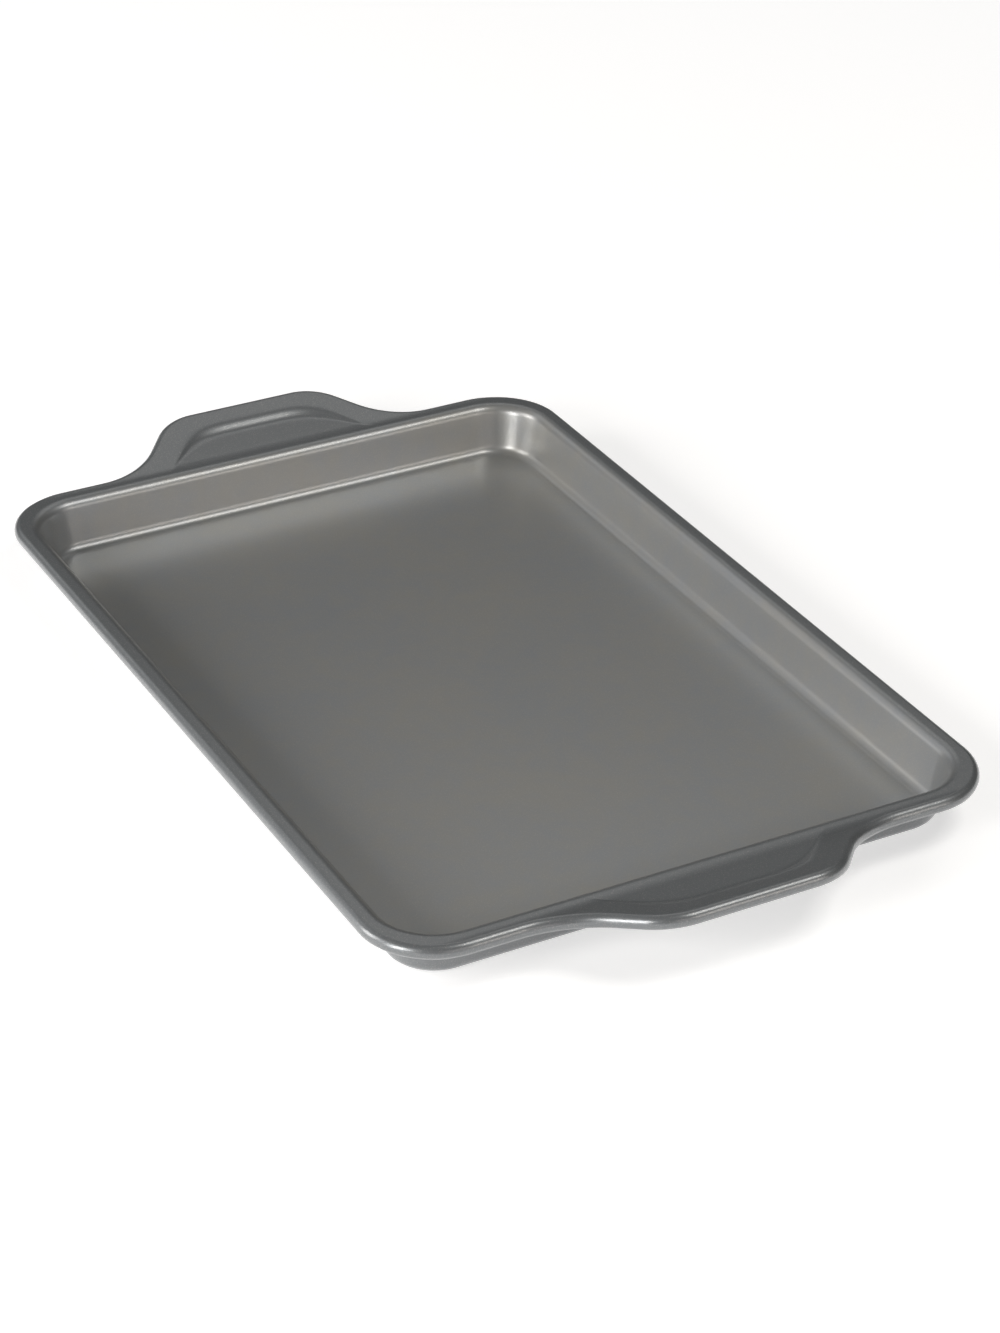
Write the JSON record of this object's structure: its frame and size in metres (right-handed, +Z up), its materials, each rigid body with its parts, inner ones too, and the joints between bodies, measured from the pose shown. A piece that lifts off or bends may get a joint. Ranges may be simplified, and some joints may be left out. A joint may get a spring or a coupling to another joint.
{
  "type": "jelly roll pan",
  "caption": "Shallow rectangular baking pan pressed from coated steel sheet, with a flat rim, an edge rolled over a wire, and a broad raised handle with a sunk panel at each end.",
  "frame": {"origin": "middle of the floor's underside, where the pan rests", "axes": "+X from handle to handle, +Y across the pan, +Z up out of the tray"},
  "size_m": [0.4708, 0.2742, 0.0313],
  "materials": {
    "nonstick_coating": "satin dark grey nonstick coating with a fine metallic fleck",
    "wire_steel": "drawn steel wire"
  },
  "bodies": {
    "root": {"pan_shell": "nonstick_coating", "rim_wire": "wire_steel"}
  },
  "joints": []
}
